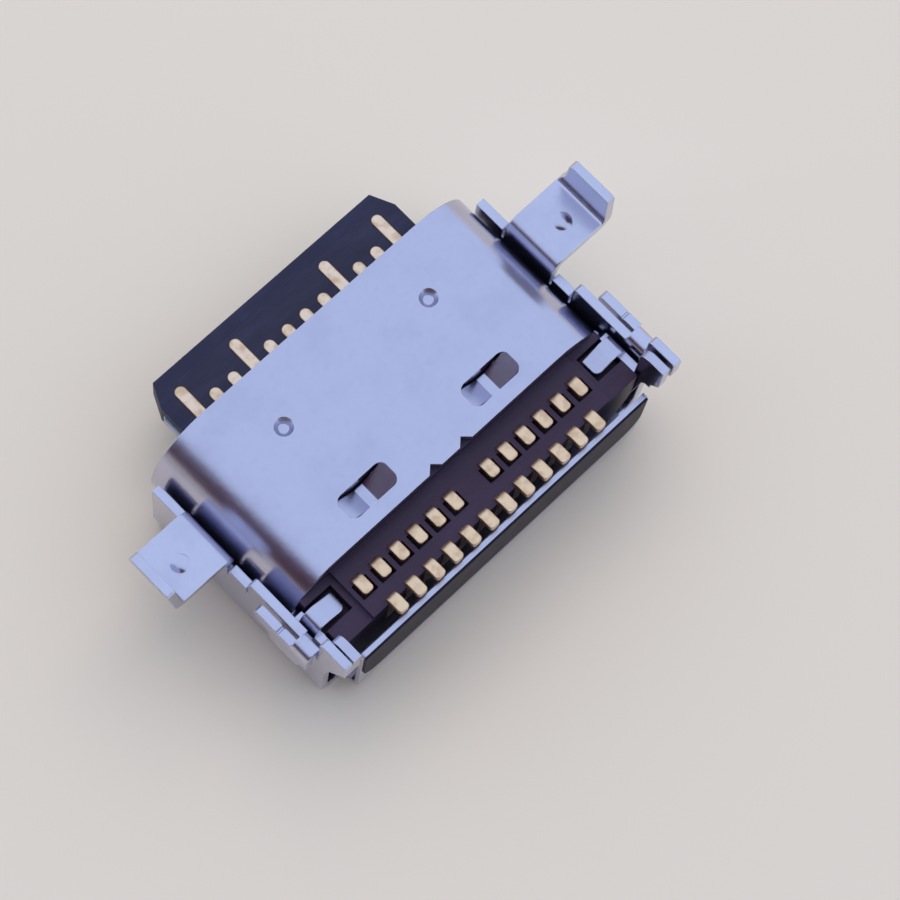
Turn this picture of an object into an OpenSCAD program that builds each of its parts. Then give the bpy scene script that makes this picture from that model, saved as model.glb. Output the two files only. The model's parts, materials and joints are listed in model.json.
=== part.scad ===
// USB-C socket: 24 contacts, set into a cut-out of the board, with two rows of
// surface-mount tails. All lengths are in millimetres.
// The board plane is the reference while the pieces are worked out: the tails' top
// faces lie in it, and its zero is the middle of the rear row of tails. The finished
// part is then set down on its bottom plate. +Y is the way the mouth faces.

/* [Contacts] */
// Distance from one contact to the next
pitch = 0.5; // [0.47:0.01:0.52]
// Width of a contact and of its tail
contact_w = 0.25; // [0.2:0.01:0.28]
// Thickness of a terminal's strip
strip_t = 0.15; // [0.1:0.01:0.18]
// How far a contact stands out of the tongue
contact_proud = 0.02; // [0.01:0.01:0.04]
// From the tongue's front edge to the tips of the ground and power contacts
long_setback = 0.41; // [0.35:0.01:0.6]
// From the tongue's front edge to the tips of the signal contacts
short_setback = 0.9; // [0.7:0.01:1.2]

/* [Tails] */
// Distance between the two rows of tails
row_gap = 0.75; // [0.7:0.01:0.85]
// Length of a tail's foot
foot_len = 0.48; // [0.42:0.01:0.52]
// Sideways step from an upper contact out to its tail
tail_jog = 0.25; // [0.2:0.01:0.3]
// Length of the slanted stretch that steps sideways
jog_len = 0.5; // [0.4:0.01:0.55]
// Inner radius of the bends in a terminal
strip_bend = 0.06; // [0.03:0.01:0.08]

/* [Tongue] */
// Plastic beside the outer contacts, in the tongue's core
core_margin = 0.1; // [0.08:0.01:0.12]
// Width of the moulded rim at the tongue's sides
rim_w = 0.3; // [0.26:0.01:0.32]
// Thickness of the tongue
tongue_t = 0.7; // [0.65:0.01:0.75]
// How far the tongue reaches out in front of the shell
tongue_reach = 1.41; // [1.1:0.01:1.6]
// Width of the slanted front corners
corner_w = 0.25; // [0.1:0.01:0.35]
// Length of the slanted front corners
corner_len = 0.52; // [0.3:0.01:0.6]
// Plastic of the rim that is left inside the latch recesses
latch_wall = 0.08; // [0.06:0.01:0.12]
// Length of the latch recesses
latch_len = 1.1; // [1:0.01:1.2]
// How far the latch recesses reach out in front of the shell
latch_reach = 0.1; // [0.05:0.01:0.2]
// Thickness of the steel plate inside the tongue
mid_plate_t = 0.15; // [0.1:0.01:0.2]
// How far the steel plate stands out of the tongue's sides
mid_plate_proud = 0.07; // [0.03:0.01:0.1]
// From the tongue's front edge back to the steel plate
mid_plate_setback = 0.25; // [0.15:0.01:0.3]

/* [Housing] */
// Length of the housing's base inside the tube
base_len = 0.96; // [0.93:0.01:1.1]
// Length of the comb that holds the rear row of terminals
comb_len = 0.34; // [0.3:0.01:0.36]
// How much lower the ledge is beside the tails
shoulder_drop = 0.12; // [0.08:0.01:0.2]
// Depth of the pockets round the front row's tails
pocket_deep = 0.4; // [0.3:0.01:0.5]
// How far the ledge under the tails lies below the board plane
ledge_drop = 0.1; // [0.06:0.01:0.13]
// Clearance between the housing and the shell
housing_fit = 0.02; // [0.01:0.01:0.04]
// Free width beside a tail in its pocket
pocket_side = 0.07; // [0.04:0.01:0.09]
// Width of the ribs that seat the housing in the tube
rib_w = 0.6; // [0.4:0.05:0.8]
// Thickness of the ground plates at the tongue's root
ground_plate_t = 0.1; // [0.08:0.01:0.15]
// Height of the ground plates' flange on the base
ground_flange = 0.5; // [0.3:0.01:0.55]
// Thickness of the tongue's root
root_t = 1.24; // [1.1:0.01:1.3]
// Length of the tongue's root
root_len = 0.6; // [0.4:0.01:0.8]

/* [Shell] */
// Width of the mouth
mouth_w = 8.34; // [8.3:0.01:8.4]
// Height of the mouth
mouth_h = 2.56; // [2.52:0.01:2.62]
// Thickness of the shell's sheet
shell_t = 0.2; // [0.15:0.01:0.25]
// Length of the shell's tube
shell_len = 4; // [3.7:0.05:4.3]
// How far the shell stands above the board plane
shell_rise = 0.35; // [0.25:0.01:0.45]
// From the rear row of tails to the tube's rear edge
shell_setback = 1.35; // [1.3:0.01:1.45]
// Distance between the two pressed dimples
dimple_span = 4; // [3:0.1:5]
// From the tube's front edge to the dimples
dimple_setback = 1.31; // [1:0.01:1.6]
// Diameter of a pressed dimple
dimple_d = 0.42; // [0.3:0.01:0.5]
// Depth of a pressed dimple
dimple_deep = 0.12; // [0.06:0.01:0.15]
// Distance between the two lanced bridges
bridge_span = 3.4; // [2.8:0.1:4]
// From the tube's rear edge to the middle of the bridges
bridge_setback = 0.62; // [0.55:0.01:0.7]
// Length of a lanced bridge
bridge_len = 1.3; // [1:0.05:1.5]
// Width of a lanced bridge
bridge_w = 0.5; // [0.4:0.01:0.6]
// Width of the slit on each side of a bridge
bridge_slit = 0.04; // [0.03:0.01:0.06]
// How far a lanced bridge is pushed in
bridge_deep = 0.38; // [0.25:0.01:0.42]
// Depth of the two notches in the tube's rear edge
notch_deep = 0.16; // [0.1:0.01:0.2]
// Width of the notches in the tube's rear edge
notch_w = 0.36; // [0.25:0.01:0.45]
// From the middle of the tube to the middle of each notch
notch_x = 0.42; // [0.35:0.01:0.5]
// Width of the seam where the tube's sheet meets underneath
seam_w = 0.03; // [0.02:0.01:0.05]
// Length of the dovetail in that seam
dovetail_len = 0.6; // [0.4:0.05:0.8]
// Width of the fold-over tabs that hold the housing down
hold_tab_w = 0.44; // [0.4:0.01:0.5]
// From the tube's rear edge to the fold-over tabs
hold_tab_setback = 0.27; // [0.2:0.01:0.3]
// Reach of the fold-over tabs past their bend
hold_tab_len = 0.44; // [0.35:0.01:0.48]
// Inner radius of the fold-over tabs' bend
hold_tab_bend = 0.12; // [0.1:0.01:0.14]
// Slope of the fold-over tabs, in degrees
hold_tab_slope = 24; // [15:1:30]
// Height of the shell's rear legs above the board plane
shell_leg_rise = 0.74; // [0.5:0.01:0.9]

/* [Bracket] */
// Thickness of the bracket's sheet
bracket_t = 0.2; // [0.15:0.01:0.25]
// Clearance between the shell's side and the bracket's wall
bracket_gap = 0.06; // [0.03:0.01:0.08]
// Inner radius of the bracket's bottom bends
bottom_bend = 0.3; // [0.2:0.01:0.4]
// From the shell's front edge back to the bracket's
bracket_setback = 0.32; // [0.2:0.01:0.5]
// Length of the front wing of each wall
wing_len = 0.76; // [0.6:0.01:0.9]
// How far the front wing's top lies below the board plane
wing_drop = 0.52; // [0.45:0.01:0.7]
// Length of the short wall behind each ear
mid_wall_len = 0.49; // [0.4:0.01:0.6]
// How far that short wall's top lies below the board plane
mid_wall_drop = 0.57; // [0.5:0.01:0.7]
// Width of the relief slits between the parts of a wall
relief_w = 0.06; // [0.04:0.01:0.1]
// Length of the side wall in front of the rear leg
rear_wall_len = 1.98; // [1.9:0.01:2.1]
// How far the top of that wall lies below the board plane
rear_wall_drop = 0.05; // [0.02:0.01:0.1]
// Length of the fold-over at that wall's rear
side_fold_len = 0.45; // [0.35:0.01:0.7]
// How far the fold-over stands above the board plane
side_fold_rise = 0.02; // [0:0.01:0.1]
// Gap inside the fold-over
side_fold_gap = 0.08; // [0.05:0.01:0.12]
// Length of the tab that hangs from the fold-over
side_tab_len = 1.47; // [1.3:0.01:1.6]
// Length of the low rear part of that tab
side_tab_low_len = 1.02; // [0.8:0.01:1.1]
// How far that tab's lower edge lies below the board plane
side_tab_drop = 0.95; // [0.7:0.01:1.2]
// Length of each rear leg
leg_len = 0.72; // [0.6:0.01:0.8]
// How far the rear legs' underside lies above the board plane at their rear end
leg_underside = 0.3; // [0.2:0.01:0.4]
// Height of the rear legs above the board plane
leg_rise = 0.84; // [0.6:0.01:1]

/* [Ears] */
// Overall width across the ears' legs
ear_span = 12.26; // [12:0.02:12.6]
// Length of an ear
ear_len = 1.35; // [1.2:0.01:1.5]
// How far an ear lies below the board plane
ear_drop = 0.08; // [0.05:0.01:0.12]
// Inner radius of the bend from the wall to the ear
ear_bend = 0.15; // [0.1:0.01:0.2]
// Inner radius of the bend from the ear to its leg
ear_leg_bend = 0.1; // [0.08:0.01:0.15]
// Height of the ears' legs above the board plane
ear_leg_rise = 0.86; // [0.6:0.01:1]
// How much each ear's leg narrows at its front
ear_leg_taper = 0.18; // [0.1:0.01:0.3]
// Outward lean of the left ear's leg, in degrees
left_leg_lean = 8; // [0:1:12]
// Diameter of the stand-off dimple on an ear
ear_dimple_d = 0.42; // [0.3:0.01:0.5]

/* [Rear] */
// Thickness of the rear shield
rear_shield_t = 0.11; // [0.08:0.01:0.14]
// Gap beside the rear shield
rear_shield_side = 0.17; // [0.1:0.01:0.25]
// Length of the rear shield's foot
shield_foot = 0.55; // [0.45:0.01:0.7]
// Inner radius of the rear shield's bend
shield_bend = 0.1; // [0.08:0.01:0.15]
// How far the rear shield's top lies below the board plane
rear_shield_drop = 0.28; // [0.22:0.01:0.35]
// Gap between the housing's rear face and the rear shield
rear_gap = 0.33; // [0.3:0.01:0.36]
// Thickness of the black film on the rear shield
film_t = 0.05; // [0.03:0.01:0.06]
// Height of the black film
film_h = 1.55; // [1.2:0.05:1.9]
// Radius of the film's lower corners
film_round = 0.5; // [0.2:0.05:0.6]

/* [Hidden] */
$fn = 48;

steel_colour = "gainsboro";
plastic_colour = [0.13, 0.13, 0.16];
gold_colour = [0.88, 0.78, 0.58];

far = 20;    // reaches past the whole part
contacts = 12;    // contacts in each row

// Heights, from the board plane
shell_w = mouth_w + 2 * shell_t;
shell_h = mouth_h + 2 * shell_t;
mid_z = shell_rise - shell_h / 2;
floor_z = shell_rise - shell_h;
seat_z = floor_z - bracket_t;
housing_bottom = mid_z - mouth_h / 2;
upper_strip_z = mid_z + tongue_t / 2 + contact_proud - strip_t;
lower_strip_z = mid_z - tongue_t / 2 - contact_proud;

// Lengths along Y, from the rear row of tails
shell_rear = shell_setback;
shell_front = shell_rear + shell_len;
tongue_front = shell_front + tongue_reach;
base_front = shell_rear + base_len;
root_front = base_front + root_len;
long_tip = tongue_front - long_setback;
short_tip = tongue_front - short_setback;
comb_rear = foot_len / 2 - strip_t;
comb_front = comb_rear + comb_len;
layer_front = long_tip + core_margin;
shield_front = comb_rear - rear_gap;
shield_rear = shield_front - rear_shield_t;

// Bracket, from front to rear
bracket_front = shell_front - bracket_setback;
wing_rear = bracket_front - wing_len;
ear_front = wing_rear - relief_w;
ear_rear = ear_front - ear_len;
mid_wall_front = ear_rear - relief_w;
mid_wall_rear = mid_wall_front - mid_wall_len;
rear_wall_front = mid_wall_rear - relief_w;
leg_front = rear_wall_front - rear_wall_len;
leg_rear = leg_front - leg_len;
wall_rear = leg_front - 0.17;
fold_rear = leg_front + relief_w;
fold_front = fold_rear + side_fold_len;
wall_in = shell_w / 2 + bracket_gap;
wall_out = wall_in + bracket_t;
relief_floor = -mid_wall_drop - 0.3;
ear_mid_y = (ear_front + ear_rear) / 2;

// Placing of the finished part
middle_y = (tongue_front + leg_rear) / 2;

// ---------------------------------------------------------------- helpers

// Sets the finished part down on its bottom plate, centred over the origin
module placed() {
    translate([0, -middle_y, -seat_z]) children();
}

module both_sides() {
    children();
    mirror([1, 0, 0]) children();
}

// A shape drawn in X and Z, run along Y
module along_y(y0, y1) {
    translate([0, y1, 0]) rotate([90, 0, 0]) linear_extrude(y1 - y0) children();
}

// A shape drawn in Y and Z, run along X
module along_x(x0, x1) {
    translate([x0, 0, 0]) rotate([90, 0, 90]) linear_extrude(x1 - x0) children();
}

// A shape drawn in X and Y, run along Z
module along_z(z0, z1) {
    translate([0, 0, z0]) linear_extrude(z1 - z0) children();
}

module block(low, high) {
    translate(low) cube(high - low);
}

// Flat-sided oval with round ends
module stadium(w, h) {
    for (side = [-1, 1]) translate([side * (w - h) / 2, 0]) circle(d = h);
    square([w - h, h], center = true);
}

// Rectangle from corner to corner with all four corners round
module round_rect(x0, y0, x1, y1, r) {
    translate([x0 + r, y0]) square([x1 - x0 - 2 * r, y1 - y0]);
    translate([x0, y0 + r]) square([x1 - x0, y1 - y0 - 2 * r]);
    for (x = [x0 + r, x1 - r]) for (y = [y0 + r, y1 - r]) translate([x, y]) circle(r);
}

// Part of a ring, from angle 0 to turn
module ring_sector(r_in, t, turn) {
    reach = 3 * (r_in + t);
    intersection() {
        difference() {
            circle(r_in + t);
            circle(r_in);
        }
        polygon([[0, 0], for (k = [0:4]) reach * [cos(turn * k / 4), sin(turn * k / 4)]]);
    }
}

// Cross-section of a bent strip. It starts along +X with its thickness above, and each
// step is [straight run, inner bend radius, turn in degrees, left positive].
module folded(steps, t, i = 0) {
    if (i < len(steps)) {
        run = steps[i][0];
        r = steps[i][1];
        turn = steps[i][2];
        if (run > 0) square([run, t]);
        if (turn > 0) translate([run, t + r]) {
            rotate(-90) ring_sector(r, t, turn);
            rotate(turn) translate([0, -t - r]) folded(steps, t, i + 1);
        }
        if (turn < 0) translate([run, -r]) {
            rotate(90 + turn) ring_sector(r, t, -turn);
            rotate(turn) translate([0, r]) folded(steps, t, i + 1);
        }
    }
}

// -------------------------------------------------------------- terminals

function contact_x(k) = (k - (contacts - 1) / 2) * pitch;
function is_long(k) = k == 0 || k == 3 || k == contacts - 4 || k == contacts - 1;
function contact_tip(k) = is_long(k) ? long_tip : short_tip;
function jogged_x(k) = contact_x(k) + sign(contact_x(k)) * tail_jog;

// One terminal: a flat contact, a run back through the housing, an upright and a foot.
// The strip's lower face is at strip_z, and row_y is the middle of its row of tails.
module terminal(x, tail_x, tip, strip_z, row_y) {
    run_rear = row_y + foot_len / 2 + strip_bend;
    jog_rear = shell_rear + 0.11;
    jog_front = jog_rear + jog_len;
    upright = -strip_z - 2 * (strip_bend + strip_t);
    foot_run = foot_len - strip_t - strip_bend;
    half = contact_w / 2;
    along_z(strip_z, strip_z + strip_t) {
        translate([x, tip - half]) circle(half);
        polygon([
            [x - half, tip - half], [x - half, jog_front],
            [tail_x - half, jog_rear], [tail_x - half, run_rear],
            [tail_x + half, run_rear], [tail_x + half, jog_rear],
            [x + half, jog_front], [x + half, tip - half]
        ]);
    }
    intersection() {
        along_x(tail_x - half, tail_x + half)
            translate([run_rear, strip_z]) mirror([1, 0])
                folded([[0, strip_bend, 90], [upright, strip_bend, -90], [foot_run, 1, 0]], strip_t);
        along_z(strip_z - 1, 1)
            round_rect(tail_x - half, row_y - foot_len / 2, tail_x + half, run_rear + 1, strip_t / 2);
    }
}

module upper_terminal(k) {
    terminal(contact_x(k), jogged_x(k), contact_tip(k), upper_strip_z, row_gap);
}

module lower_terminal(k) {
    terminal(contact_x(k), contact_x(k), contact_tip(k), lower_strip_z, 0);
}

// The upper row is numbered from +X, the lower row from -X
module terminal_a(k) {
    color(gold_colour) placed() upper_terminal(contacts - 1 - k);
}

module terminal_b(k) {
    color(gold_colour) placed() lower_terminal(k);
}

// ----------------------------------------------------------------- tongue

core_half = (contacts - 1) / 2 * pitch + contact_w / 2 + core_margin;
tongue_half = core_half + rim_w;
latch_half = core_half + latch_wall;
plate_half = tongue_half + mid_plate_proud;
latch_front = shell_front + latch_reach;
latch_rear = latch_front - latch_len;

// Right half of the steel plate's outline, from its rear edge to its front edge
plate_side_front = tongue_front - corner_len - 0.05;
plate_front = tongue_front - mid_plate_setback;
plate_edge = [
    [core_half - 0.4, comb_front + 0.1], [core_half - 0.4, base_front - 0.5],
    [plate_half, base_front - 0.3], [plate_half, latch_rear],
    [latch_half, latch_rear], [latch_half, latch_front],
    [plate_half, latch_front], [plate_half, plate_side_front - 0.1],
    [plate_half - 0.1, plate_side_front], [core_half, plate_side_front],
    [core_half, plate_front]
];

module mid_plate_solid() {
    along_z(mid_z - mid_plate_t / 2, mid_z + mid_plate_t / 2)
        polygon([
            for (p = plate_edge) p,
            for (k = [len(plate_edge) - 1:-1:0]) [-plate_edge[k][0], plate_edge[k][1]]
        ]);
}

module mid_plate() {
    color(steel_colour) placed() mid_plate_solid();
}

// Outline of the tongue from above, with slanted front corners and latch recesses
module tongue_plan() {
    difference() {
        polygon([
            [-tongue_half, base_front], [-tongue_half, tongue_front - corner_len],
            [-tongue_half + corner_w, tongue_front], [tongue_half - corner_w, tongue_front],
            [tongue_half, tongue_front - corner_len], [tongue_half, base_front]
        ]);
        for (side = [0, 1]) mirror([side, 0])
            translate([latch_half, latch_rear]) square([rim_w, latch_len]);
    }
}

module tongue_overmould() {
    color(plastic_colour) placed() difference() {
        union() {
            along_z(mid_z - tongue_t / 2, mid_z + tongue_t / 2) tongue_plan();
            block([-plate_half - latch_wall, base_front, mid_z - root_t / 2],
                  [plate_half + latch_wall, root_front, mid_z + root_t / 2]);
        }
        block([-core_half, base_front - 1, mid_z - tongue_t / 2 - contact_proud],
              [core_half, layer_front, mid_z + tongue_t / 2 + contact_proud]);
        mid_plate_solid();
    }
}

// ---------------------------------------------------------------- housing

ledge_half = shell_w / 2 - shell_t - 0.05;

// One half of the housing: the plug in the shell and its layer of the tongue
module insert_body() {
    along_y(shell_rear, base_front)
        translate([0, mid_z]) stadium(mouth_w - 2 * housing_fit, mouth_h - 2 * housing_fit);
    block([-core_half, base_front - 0.1, mid_z - tongue_t / 2],
          [core_half, layer_front, mid_z + tongue_t / 2]);
}

// Ribs that seat the plug in the shell, above and below
module crush_ribs() {
    outer = (mouth_w - mouth_h - rib_w) / 2 - housing_fit;
    for (x = [-outer, 0, outer])
        block([x - rib_w / 2, shell_rear + 0.1, housing_bottom],
              [x + rib_w / 2, base_front - 0.1, housing_bottom + mouth_h]);
}

bridge_y = shell_rear + bridge_setback;
bridge_flat = 0.2;    // level stretch at the bottom of a bridge
bridge_root = 0.02;    // stretch of a bridge's ends inside the sheet

// Section of a lanced bridge, from the top face down
module bridge_section() {
    flat = bridge_flat / 2;
    end = bridge_len / 2;
    root = end + bridge_root;
    polygon([
        [-root, 0], [-end, 0], [-flat, -bridge_deep], [flat, -bridge_deep], [end, 0], [root, 0],
        [root, -shell_t], [end, -shell_t], [flat, -bridge_deep - shell_t],
        [-flat, -bridge_deep - shell_t], [-end, -shell_t], [-root, -shell_t]
    ]);
}

// Opening round a lanced bridge, with round corners
module bridge_opening() {
    x = bridge_len / 2;
    y = bridge_w / 2 + bridge_slit;
    along_z(-shell_t - 0.1, 0.1) round_rect(-x, -y, x, y, 0.2);
}

// Room under the two lanced bridges
module bridge_pockets() {
    half = bridge_w / 2 + bridge_slit;
    flat = bridge_flat / 2 + bridge_root;
    end = bridge_len / 2 + 2 * bridge_root;
    for (side = [-1, 1])
        along_y(bridge_y - half, bridge_y + half)
            translate([side * bridge_span / 2, shell_rise])
                polygon([
                    [-end, 0], [-end, -shell_t], [-flat, -bridge_deep - shell_t],
                    [flat, -bridge_deep - shell_t], [end, -shell_t], [end, 0]
                ]);
}

// Room round each upright of the front row, and under the fold-over tabs
module ledge_pockets() {
    half = contact_w / 2 + pocket_side;
    front = row_gap + foot_len / 2;
    for (k = [0:contacts - 1])
        block([jogged_x(k) - half, front - foot_len - 0.04, -ledge_drop - pocket_deep],
              [jogged_x(k) + half, front - strip_t, 1]);
    both_sides() block([hold_tab_in - 0.08, hold_tab_rear - 0.1, arm_top - 0.18],
                       [far, hold_tab_rear + hold_tab_w + 0.1, 1]);
    both_sides() block([jogged_x(contacts - 1) + half + 0.1, -1, -ledge_drop - shoulder_drop],
                       [far, shell_rear, 1]);
}

module upper_insert() {
    color(plastic_colour) placed() difference() {
        intersection() {
            union() {
                insert_body();
                block([-ledge_half, comb_front, mid_z - 1], [ledge_half, shell_rear, -ledge_drop]);
                crush_ribs();
            }
            block([-far, comb_front, mid_z], [far, far, far]);
        }
        mid_plate_solid();
        bridge_pockets();
        ledge_pockets();
        for (k = [0:contacts - 1]) upper_terminal(k);
    }
}

module lower_insert() {
    color(plastic_colour) placed() difference() {
        union() {
            intersection() {
                union() {
                    insert_body();
                    crush_ribs();
                    along_y(comb_rear, shell_rear)
                        translate([0, mid_z]) stadium(2 * ledge_half, mouth_h - 2 * housing_fit);
                }
                block([-far, comb_rear, -far], [far, far, mid_z]);
            }
            block([-ledge_half, comb_rear, mid_z - 0.3], [ledge_half, comb_front, -ledge_drop]);
        }
        mid_plate_solid();
        ledge_pockets();
        for (k = [0:contacts - 1]) lower_terminal(k);
    }
}

// One stamped ground plate: flat on the tongue's root, with a flange up the base
module ground_plate() {
    root_top = root_t / 2;
    along_x(-tongue_half, tongue_half) polygon([
        [base_front, root_top], [root_front, root_top],
        [root_front, root_top + ground_plate_t],
        [base_front + ground_plate_t, root_top + ground_plate_t],
        [base_front + ground_plate_t, root_top + ground_flange],
        [base_front, root_top + ground_flange]
    ]);
}

module upper_ground_plate() {
    color(steel_colour) placed() translate([0, 0, mid_z]) ground_plate();
}

module lower_ground_plate() {
    color(steel_colour) placed() translate([0, 0, mid_z]) mirror([0, 0, 1]) ground_plate();
}

// ------------------------------------------------------------- main shell

shell_out = shell_w / 2;
dimple_y = shell_front - dimple_setback;
hold_tab_rear = shell_rear - hold_tab_setback - hold_tab_w;
hold_tab_in = shell_out - (hold_tab_bend + shell_t) * (1 + sin(hold_tab_slope))
    - hold_tab_len * cos(hold_tab_slope);
arm_top = -ledge_drop - hold_tab_bend - 0.18;

// Cone frustum, wide end up, used for pressed dimples
module cup(d_top, d_bottom, h) {
    cylinder(d1 = d_bottom, d2 = d_top, h = h);
}

// Cap of a sphere, standing on its flat side
module dome(d, h) {
    r = (d * d / 4 + h * h) / (2 * h);
    intersection() {
        translate([0, 0, h - r]) sphere(r);
        cylinder(d = d + 1, h = 1);
    }
}

// Section of the fold-over tab, starting up the outside of the arm
module hold_tab_section() {
    translate([shell_out, mid_z]) rotate(90)
        folded([[arm_top - mid_z, hold_tab_bend, 90 + hold_tab_slope], [hold_tab_len, 1, 0]], shell_t);
}

// Side view of the arm behind the tube, with the inner rear leg on its rear end
module arm_outline() {
    arm_rear = leg_rear + 0.04;
    leg_round = 0.22;
    leg_top_front = arm_rear + 0.62;
    polygon([
        [shell_rear + 0.12, mid_z - 0.35], [shell_rear, mid_z - 0.4],
        [shell_rear - 0.15, mid_z - 0.75], [leg_front - 0.1, mid_z - 0.75],
        [leg_front - 0.3, arm_top - 0.1], [arm_rear, 0],
        [arm_rear, shell_leg_rise], [leg_top_front - leg_round, shell_leg_rise],
        [leg_top_front - leg_round, arm_top + 0.2], [leg_top_front, arm_top],
        [shell_rear - 0.15, arm_top], [shell_rear, mid_z + 0.4], [shell_rear + 0.12, mid_z + 0.35]
    ]);
    translate([leg_top_front - leg_round, shell_leg_rise - leg_round]) circle(leg_round);
    translate([leg_top_front - 2 * leg_round, arm_top])
        square([2 * leg_round, shell_leg_rise - leg_round - arm_top]);
}

// Thin slit from point to point
module slit(points, w) {
    for (k = [0:len(points) - 2]) {
        run = points[k + 1] - points[k];
        translate(points[k]) rotate(atan2(run[1], run[0]))
            translate([-w / 2, -w / 2]) square([norm(run) + w, w]);
    }
}

// Seam under the tube, with a dovetail that locks the two edges together
module tube_seam() {
    middle = shell_front - shell_len / 2;
    neck = dovetail_len * 0.35;
    head = dovetail_len / 2;
    along_z(floor_z - 0.1, floor_z + shell_t + 0.1) slit([
        [0, shell_rear - 1], [0, middle - neck], [dovetail_len, middle - head],
        [dovetail_len, middle + head], [0, middle + neck], [0, shell_front + 1]
    ], seam_w);
}

module shell_side() {
    along_x(shell_out - shell_t, shell_out) arm_outline();
    intersection() {
        along_y(hold_tab_rear, hold_tab_rear + hold_tab_w) hold_tab_section();
        along_z(-2, 1) round_rect(hold_tab_in, hold_tab_rear, far, hold_tab_rear + 2, 0.14);
    }
}

module main_shell() {
    color(steel_colour) placed() difference() {
        union() {
            difference() {
                along_y(shell_rear - 0.65, shell_front) translate([0, mid_z]) stadium(shell_w, shell_h);
                along_y(shell_rear - 1, shell_front + 1) translate([0, mid_z]) stadium(mouth_w, mouth_h);
                block([-far, -far, mid_z - shell_h / 2 + 0.3], [far, shell_rear, far]);
                for (side = [-1, 1]) translate([side * bridge_span / 2, bridge_y, shell_rise])
                    bridge_opening();
                tube_seam();
            }
            both_sides() shell_side();
            for (side = [-1, 1]) {
                along_y(bridge_y - bridge_w / 2, bridge_y + bridge_w / 2)
                    translate([side * bridge_span / 2, shell_rise]) bridge_section();
                translate([side * dimple_span / 2, dimple_y, shell_rise - shell_t])
                    translate([0, 0, -dimple_deep + 0.03])
                        cup(dimple_d + 0.06, dimple_d * 0.5 + 0.1, dimple_deep);
            }
        }
        for (side = [-1, 1]) {
            translate([side * dimple_span / 2, dimple_y, shell_rise - dimple_deep])
                cup(dimple_d, dimple_d * 0.5, dimple_deep);
            along_z(shell_rise - shell_t - 0.1, 1) translate([side * notch_x, shell_rear])
                polygon([[-notch_w / 2, -0.01], [0, notch_deep], [notch_w / 2, -0.01]]);
        }
    }
}

// ---------------------------------------------------------------- bracket

// Side view of a wall, from the front wing to the rear leg
module wall_outline() {
    difference() {
        polygon([
            [bracket_front, seat_z], [bracket_front, -wing_drop],
            [wing_rear, -wing_drop], [wing_rear, relief_floor],
            [ear_front, relief_floor], [ear_front, ear_fold_z],
            [ear_rear, ear_fold_z], [ear_rear, relief_floor],
            [mid_wall_front, relief_floor], [mid_wall_front, -mid_wall_drop],
            [mid_wall_rear, -mid_wall_drop], [mid_wall_rear, relief_floor],
            [rear_wall_front, relief_floor], [rear_wall_front, -rear_wall_drop - corner_cut],
            [rear_wall_front - corner_cut, -rear_wall_drop], [fold_front, -rear_wall_drop],
            [fold_front, side_fold_z], [fold_rear, side_fold_z],
            [fold_rear, side_fold_z - 0.15], [leg_front, side_fold_z - 0.15],
            [leg_front, leg_rise], [leg_rear, leg_rise], [leg_rear, leg_underside],
            [wall_rear - 0.15, -0.4], [wall_rear, -1.2], [wall_rear, seat_z]
        ]);
        for (y = [leg_front, leg_rear])
            translate([y, leg_rise]) rotate(45) square(corner_cut * sqrt(2), center = true);
    }
}

corner_cut = 0.06;    // slanted corners of the bracket's walls and legs
ear_fold_z = -ear_drop - bracket_t - ear_bend;
side_fold_z = side_fold_rise - bracket_t - side_fold_gap / 2;
ear_out = ear_span / 2;
ear_rear_taper = 0.06;    // narrowing of an ear's leg at its rear

// Section of an ear: up the wall, out along the board and up into the leg, which
// leans outwards by lean degrees and ends at the ear's full width
module ear_section(lean) {
    turn = 90 - lean;
    bend_out = ear_leg_bend + bracket_t;
    leg_run = (ear_leg_rise + ear_drop + bracket_t - bend_out * (1 - cos(turn))) / sin(turn);
    leg_out = bend_out * sin(turn) + leg_run * cos(turn);
    plate_run = ear_out - leg_out - wall_out - ear_bend;
    spare = bracket_t;    // cut off level at the top
    translate([wall_out, ear_fold_z - 0.1]) rotate(90) folded([
        [0.1, ear_bend, -90], [plate_run, ear_leg_bend, turn], [leg_run + spare, 1, 0]
    ], bracket_t);
}

// Side view of an ear's leg, narrower at the top
module ear_outline() {
    top = ear_leg_rise;
    front = ear_front - ear_leg_taper;
    rear = ear_rear + ear_rear_taper;
    polygon([
        [ear_rear, -far], [ear_front, -far], [ear_front, -ear_drop], [front + 0.03, ear_leg_rise / 3],
        [front, top - corner_cut], [front - corner_cut, top], [rear + corner_cut, top],
        [rear, top - corner_cut], [ear_rear, -ear_drop]
    ]);
}

module ear(lean) {
    dimple_x = (wall_out + ear_bend + ear_out - bracket_t - ear_leg_bend) / 2;
    difference() {
        union() {
            intersection() {
                along_y(ear_rear, ear_front) ear_section(lean);
                along_x(0, far) ear_outline();
            }
            translate([dimple_x, ear_mid_y - 0.06, -ear_drop]) dome(ear_dimple_d, ear_drop);
        }
        translate([dimple_x, ear_mid_y - 0.06, -ear_drop - bracket_t]) dome(ear_dimple_d, ear_drop);
    }
}

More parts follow.
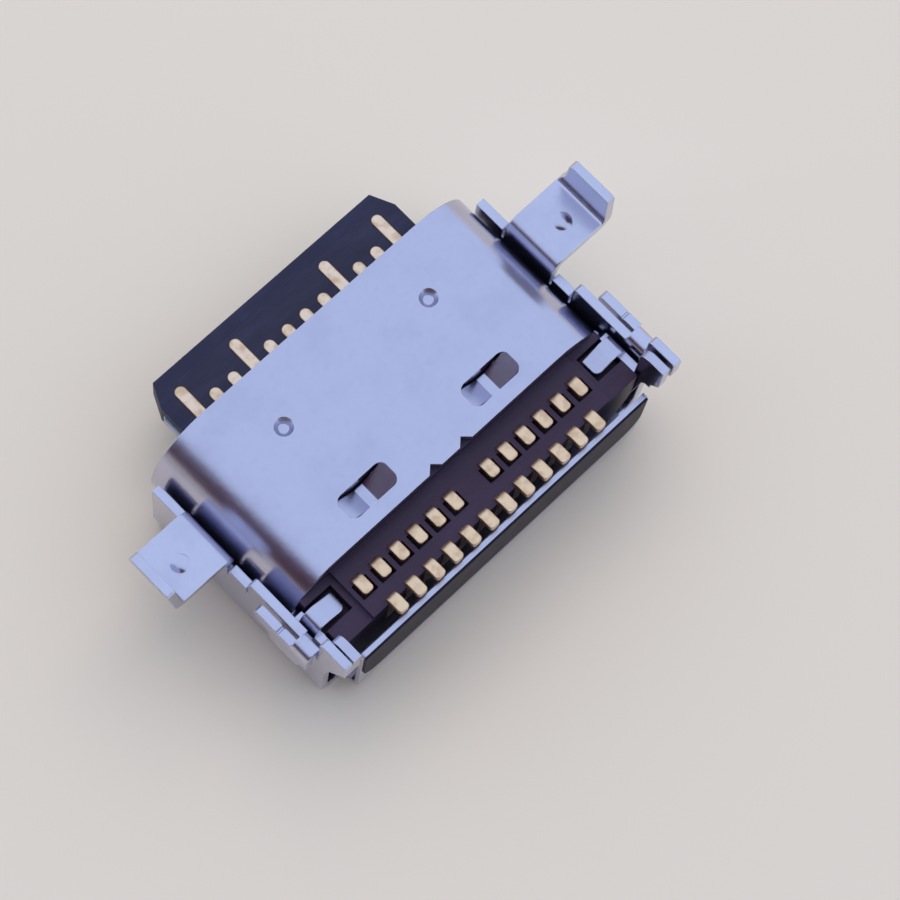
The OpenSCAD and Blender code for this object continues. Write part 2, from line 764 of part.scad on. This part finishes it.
// The fold-over on the rear part of a wall, and the tab that hangs from it
module side_fold() {
    tab_in = wall_out + side_fold_gap;
    tab_front = fold_rear + side_tab_len;
    low_front = fold_rear + side_tab_low_len;
    notch = 0.05;
    notch_y = low_front - 4 * notch;
    top = -rear_wall_drop;
    along_y(fold_rear, fold_front)
        translate([wall_out, side_fold_z - 0.1]) rotate(90)
            folded([[0.1, side_fold_gap / 2, -180], [0.4, 1, 0]], bracket_t);
    along_x(tab_in, tab_in + bracket_t) polygon([
        [fold_rear, side_fold_z], [fold_rear, side_fold_z - 0.15],
        [fold_rear + 0.3, -side_tab_drop], [low_front, -side_tab_drop],
        [low_front, side_fold_z - 0.3], [tab_front, side_fold_z - 0.2],
        [tab_front, top - corner_cut], [tab_front - corner_cut, top],
        [notch_y + notch, top], [notch_y, top - notch], [notch_y - notch, top],
        [fold_front, top], [fold_front, side_fold_z]
    ]);
}

// Bottom plate with its two bends and the lower part of the walls
module bracket_channel() {
    bend_start = wall_out - bracket_t - bottom_bend;
    wall_run = leg_rise - seat_z - bottom_bend - bracket_t;
    for (side = [0, 1]) mirror([side, 0])
        translate([0, seat_z])
            folded([[bend_start, bottom_bend, 90], [wall_run, 1, 0]], bracket_t);
}

module mount_bracket() {
    tail_half = shell_w / 2 - shell_t - 2 * bottom_bend;
    color(steel_colour) placed() {
        intersection() {
            along_y(leg_rear, bracket_front) bracket_channel();
            along_x(-far, far) wall_outline();
        }
        block([-tail_half, wall_rear - bottom_bend, seat_z], [tail_half, leg_front, floor_z]);
        ear(0);
        mirror([1, 0, 0]) ear(left_leg_lean);
        both_sides() side_fold();
    }
}

// ------------------------------------------------------------------- rear

shield_half = shell_w / 2 - shell_t - rear_shield_side;

// Thin steel plate behind the tails, standing on a foot under the housing
module rear_shield() {
    bend = shield_bend + rear_shield_t;
    color(steel_colour) placed() intersection() {
        along_x(-shield_half, shield_half)
            translate([shield_rear + shield_foot, floor_z]) mirror([1, 0])
                folded([[shield_foot - bend, shield_bend, 90],
                        [-rear_shield_drop - floor_z - bend, 1, 0]], rear_shield_t);
        along_y(-far, far)
            round_rect(-shield_half, floor_z - 1, shield_half, -rear_shield_drop, shield_bend);
    }
}

module rear_insulator() {
    half = shield_half - film_t;
    top = -rear_shield_drop - 0.02;
    color(plastic_colour) placed() along_y(shield_rear - film_t, shield_rear) {
        round_rect(-half, top - film_h, half, top - film_h + 2.5 * film_round, film_round);
        translate([-half, top - film_h + film_round]) square([2 * half, film_h - film_round]);
    }
}

// ---------------------------------------------------------------- drawing

main_shell();
mount_bracket();
rear_shield();
rear_insulator();
mid_plate();
upper_insert();
lower_insert();
tongue_overmould();
upper_ground_plate();
lower_ground_plate();
for (k = [0:contacts - 1]) {
    terminal_a(k);
    terminal_b(k);
}
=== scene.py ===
import json
from math import pi, radians

import bpy
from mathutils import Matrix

MM = 0.001

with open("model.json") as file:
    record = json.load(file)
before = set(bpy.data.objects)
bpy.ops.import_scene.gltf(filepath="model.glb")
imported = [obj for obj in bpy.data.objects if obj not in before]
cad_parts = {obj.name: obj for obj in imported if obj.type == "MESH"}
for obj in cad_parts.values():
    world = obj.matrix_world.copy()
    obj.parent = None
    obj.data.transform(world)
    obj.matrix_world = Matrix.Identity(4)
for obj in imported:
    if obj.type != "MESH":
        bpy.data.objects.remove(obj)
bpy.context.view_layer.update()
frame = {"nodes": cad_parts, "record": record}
nodes = frame["nodes"]


# ------------------------------------------------------------ camera

CAMERA_PLACE_MM = (-15.494, -11.518, 59.563)
CAMERA_TURN = (17.560, -4.335, -44.329)


def place_camera():
    bpy.ops.object.camera_add(
        location=tuple(c * MM for c in CAMERA_PLACE_MM),
        rotation=tuple(radians(a) for a in CAMERA_TURN),
    )
    camera = bpy.context.object
    camera.data.lens = 120
    camera.data.sensor_width = 36
    camera.data.clip_start = 5 * MM
    camera.data.clip_end = 10
    bpy.context.scene.camera = camera


# ------------------------------------------------------------ node sheets

SOCKETS = {
    "base_color": "Base Color",
    "metallic": "Metallic",
    "roughness": "Roughness",
    "normal": "Normal",
    "specular_ior_level": "Specular IOR Level",
}
EDGE_SAMPLES = 6
EDGE_STARTS = 0.01
EDGE_FULL = 0.2
TAILS_Y = -2.2
MOUTH_Y = 0.4


class Wire:
    """One output socket; arithmetic on it adds Math nodes."""

    def __init__(self, sheet, socket):
        self.sheet = sheet
        self.socket = socket

    def math(self, operation, a, b):
        return self.sheet.node("ShaderNodeMath", {"operation": operation}, {0: a, 1: b})

    def __add__(self, other):
        return self.math("ADD", self, other)

    def __radd__(self, other):
        return self.math("ADD", other, self)

    def __sub__(self, other):
        return self.math("SUBTRACT", self, other)

    def __rsub__(self, other):
        return self.math("SUBTRACT", other, self)

    def __mul__(self, other):
        return self.math("MULTIPLY", self, other)

    def __rmul__(self, other):
        return self.math("MULTIPLY", other, self)


class Sheet:
    """The node sheet of one material or of the world."""

    def __init__(self, owner, shader):
        owner.use_nodes = True
        self.owner = owner
        self.tree = owner.node_tree
        self.shader = self.tree.nodes[shader]

    def plug(self, socket, value):
        if isinstance(value, Wire):
            self.tree.links.new(value.socket, socket)
        elif isinstance(value, tuple) and len(socket.default_value) == 4:
            socket.default_value = (*value, 1)
        else:
            socket.default_value = value

    def node(self, kind, settings, sockets, out=0):
        made = self.tree.nodes.new(kind)
        for name, value in settings.items():
            setattr(made, name, value)
        for key, value in sockets.items():
            self.plug(made.inputs[key], value)
        return Wire(self, made.outputs[out])

    def place(self, stretch=(1, 1, 1)):
        """Place on the piece in millimetres, with the pattern stretched along an axis."""
        at = self.node("ShaderNodeTexCoord", {}, {}, "Object")
        scale = tuple(1 / MM / s for s in stretch)
        return self.node("ShaderNodeMapping", {}, {"Vector": at, "Scale": scale})

    def axis(self, vector, name):
        return self.node("ShaderNodeSeparateXYZ", {}, {0: vector}, name)

    def dot(self, a, b):
        return self.node("ShaderNodeVectorMath", {"operation": "DOT_PRODUCT"}, {0: a, 1: b}, "Value")

    def noise(self, at, per_mm, detail=2, rough=0.5):
        return self.node("ShaderNodeTexNoise", {}, {
            "Vector": at, "Scale": per_mm, "Detail": detail, "Roughness": rough})

    def cells(self, at, per_mm):
        return self.node("ShaderNodeTexVoronoi", {}, {"Vector": at, "Scale": per_mm}, "Distance")

    def ease(self, value, low, high):
        """0 below low, 1 above high, smooth between."""
        return self.node("ShaderNodeMapRange", {"interpolation_type": "SMOOTHSTEP"},
                         {"Value": value, "From Min": low, "From Max": high})

    def tint(self, share, a, b):
        return self.node("ShaderNodeMix", {"data_type": "RGBA"}, {0: share, 6: a, 7: b}, 2)

    def rearward(self, at):
        """0 over the mouth, 1 at the solder tails."""
        return 1 - self.ease(self.axis(at, "Y"), TAILS_Y, MOUTH_Y)

    def rounded(self, radius_mm):
        """Normal as if the edges were rounded by this radius."""
        return self.node("ShaderNodeBevel", {"samples": EDGE_SAMPLES}, {"Radius": radius_mm * MM})

    def edge(self, soft_normal):
        """1 along the edges, 0 on open faces."""
        true_normal = self.node("ShaderNodeNewGeometry", {}, {}, "True Normal")
        return self.ease(1 - self.dot(soft_normal, true_normal), EDGE_STARTS, EDGE_FULL)

    def bump(self, height, depth_mm, normal):
        return self.node("ShaderNodeBump", {}, {
            "Strength": 1.0, "Distance": depth_mm * MM, "Height": height, "Normal": normal})

    def set(self, **sockets):
        for name, value in sockets.items():
            self.plug(self.shader.inputs[SOCKETS[name]], value)


def new_sheet(name):
    return Sheet(bpy.data.materials.new(name), "Principled BSDF")


# ------------------------------------------------------------ finishes

ALONG_X = (6, 1, 1)
ALONG_Y = (1, 6, 1)

# clear colour, dull colour, roughness, rolling direction, edge radius in mm
STEELS = {
    "shell_steel": ((0.56, 0.55, 0.67), (0.49, 0.48, 0.60), 0.15, ALONG_Y, 0.03),
    "bracket_steel": ((0.59, 0.585, 0.705), (0.51, 0.50, 0.61), 0.17, ALONG_X, 0.045),
    "shield_steel": ((0.56, 0.55, 0.66), (0.48, 0.47, 0.57), 0.22, ALONG_X, 0.03),
    "plate_steel": ((0.54, 0.53, 0.60), (0.45, 0.44, 0.50), 0.28, ALONG_Y, 0.03),
}
# pale steel painted along the edges as a highlight
STEEL_EDGE_HIGHLIGHT = (0.80, 0.80, 0.86)

# dark colour, pale colour, roughness
PLASTICS = {
    "housing_plastic": ((0.018, 0.016, 0.042), (0.037, 0.033, 0.078), 0.42),
    "tongue_plastic": ((0.018, 0.016, 0.045), (0.035, 0.033, 0.082), 0.46),
}
WARM_PLASTIC = (0.052, 0.018, 0.038)
# how much paler the edges are painted, as a highlight
EDGE_HIGHLIGHT_GAIN = 2.2

CONTACT_GOLD = (0.97, 0.73, 0.52)
TAIL_GOLD = (0.94, 0.67, 0.42)
CLOUDED_GOLD = (0.76, 0.50, 0.30)
# brown painted along the edges as shade on the rounded bends
GOLD_EDGE_SHADE = (0.60, 0.34, 0.13)

FILM_DARK = (0.010, 0.007, 0.015)
FILM_PALE = (0.026, 0.019, 0.036)


def steel(name, clear, dull, rough, grain, round_mm):
    """Stamped sheet: rolled grain, faint cloudy staining, and a painted highlight that lightens the
    colour along the edges.
    """
    s = new_sheet(name)
    at = s.place()
    cloud = s.noise(at, 0.9, 3, 0.6)
    mottle = s.noise(at, 7, 4, 0.6)
    lines = s.noise(s.place(grain), 16, 3, 0.6)
    soft = s.rounded(round_mm)
    edge = s.edge(soft)
    stain = s.ease(cloud, 0.42, 0.72) * 0.45 + s.ease(mottle, 0.5, 0.75) * 0.25
    # the edge mask lifts the colour towards pale steel: a painted highlight on the rounded edges
    s.set(base_color=s.tint(edge * 0.6, s.tint(stain, clear, dull), STEEL_EDGE_HIGHLIGHT),
          metallic=1.0,
          roughness=rough + 0.08 * cloud + 0.06 * lines - 0.04 * edge,
          normal=s.bump(lines * 0.3 + mottle * 0.7, 0.0016, soft))
    return s.owner


def gold():
    """Plating over stamped strip, warmer at the tails, with painted shade that browns it along its
    edges.
    """
    s = new_sheet("gold_plating")
    at = s.place()
    cloud = s.noise(at, 5, 3)
    lines = s.noise(s.place((1, 4, 1)), 22, 2)
    soft = s.rounded(0.045)
    clear = s.tint(s.rearward(at), CONTACT_GOLD, TAIL_GOLD)
    colour = s.tint(s.ease(cloud, 0.4, 0.7), clear, CLOUDED_GOLD)
    # the edge mask browns the colour: painted shade along the rounded edges
    s.set(base_color=s.tint(s.edge(soft) * 0.9, colour, GOLD_EDGE_SHADE),
          metallic=1.0,
          roughness=0.3 + 0.12 * cloud + 0.05 * lines,
          normal=s.bump(lines, 0.003, soft))
    return s.owner


def moulded(name, dark, pale, rough):
    """Glass-filled moulding: fine speckle, flow streaks and a painted highlight along the edges."""
    s = new_sheet(name)
    at = s.place()
    streak = s.noise(s.place((4, 1, 2)), 3.5, 3, 0.6)
    speck = s.noise(at, 45, 3, 0.7)
    fibre = s.cells(at, 26)
    soft = s.rounded(0.025)
    share = s.ease(streak, 0.35, 0.75) * 0.6 + s.ease(speck, 0.55, 0.8) * 0.4
    colour = s.tint(s.rearward(at) * 0.55, s.tint(share, dark, pale), WARM_PLASTIC)
    # pale colour painted along the edges as a highlight
    edge_highlight = tuple(EDGE_HIGHLIGHT_GAIN * c for c in pale)
    s.set(base_color=s.tint(s.edge(soft) * 0.5, colour, edge_highlight),
          metallic=0.0,
          specular_ior_level=0.35,
          roughness=rough + 0.12 * speck,
          normal=s.bump(speck * 0.6 + fibre * 0.4, 0.006, soft))
    return s.owner


def film():
    """Thin matt sheet with faint waves, stuck over the rear shield."""
    s = new_sheet("black_film")
    cloud = s.noise(s.place(), 2.2, 3)
    wave = s.noise(s.place((3, 1, 1)), 2.0, 2)
    s.set(base_color=s.tint(cloud, FILM_DARK, FILM_PALE),
          metallic=0.0,
          specular_ior_level=0.12,
          roughness=0.4 + 0.15 * cloud,
          normal=s.bump(wave, 0.01, s.rounded(0.02)))
    return s.owner


def dress():
    finishes = {"black_film": film(), "gold_plating": gold()}
    for slot, look in STEELS.items():
        finishes[slot] = steel(slot, *look)
    for slot, look in PLASTICS.items():
        finishes[slot] = moulded(slot, *look)
    for part in frame["record"]["subparts"]:
        worn = nodes[part["node"]].data.materials
        worn.clear()
        worn.append(finishes[part["material_slot"]])


# ------------------------------------------------------------ floor and light

FLOOR_SIZE = 6.0
FLOOR_COLOUR = (0.88, 0.76, 0.60)
LAMP_PLACE = (0.12, 0.12, 0.3)
LAMP_SIZE = 0.3
LAMP_LEVEL = 1.2
LAMP_COLOUR = (1.0, 0.9, 0.8)
SKY = (0.71, 0.85, 1.13)
DIM_SIDE = (-0.819, -0.574, 0)
DIM_WALL = (0.07, 0.022, 0.035)
HORIZON = (0.52, 0.50, 0.50)


def lay_floor():
    bpy.ops.object.select_all(action="DESELECT")
    bpy.ops.mesh.primitive_plane_add(size=FLOOR_SIZE)
    floor = bpy.context.object
    floor.name = "floor"
    s = new_sheet("pale_board")
    s.set(base_color=FLOOR_COLOUR, roughness=0.9)
    floor.data.materials.append(s.owner)


def hang_lamp():
    """A soft lamp that shows in no reflection."""
    bpy.ops.object.light_add(type="AREA", location=LAMP_PLACE)
    bpy.context.object.visible_glossy = False
    lamp = bpy.context.object.data
    lamp.size = LAMP_SIZE
    lamp.energy = LAMP_LEVEL * pi * LAMP_SIZE ** 2
    lamp.color = LAMP_COLOUR


def light_sky():
    """Even cool sky with one dim side that turns pale again at the horizon."""
    world = bpy.data.worlds.new("studio")
    bpy.context.scene.world = world
    s = Sheet(world, "Background")
    direction = s.node("ShaderNodeTexCoord", {}, {}, "Generated")
    wall = s.tint(s.ease(s.axis(direction, "Z"), 0.14, 0.22), HORIZON, DIM_WALL)
    share = s.ease(s.dot(direction, DIM_SIDE), 0.42, 0.53)
    s.plug(s.shader.inputs["Color"], s.tint(share, SKY, wall))
    bpy.context.scene.view_settings.view_transform = "Standard"


place_camera()
dress()
lay_floor()
hang_lamp()
light_sky()
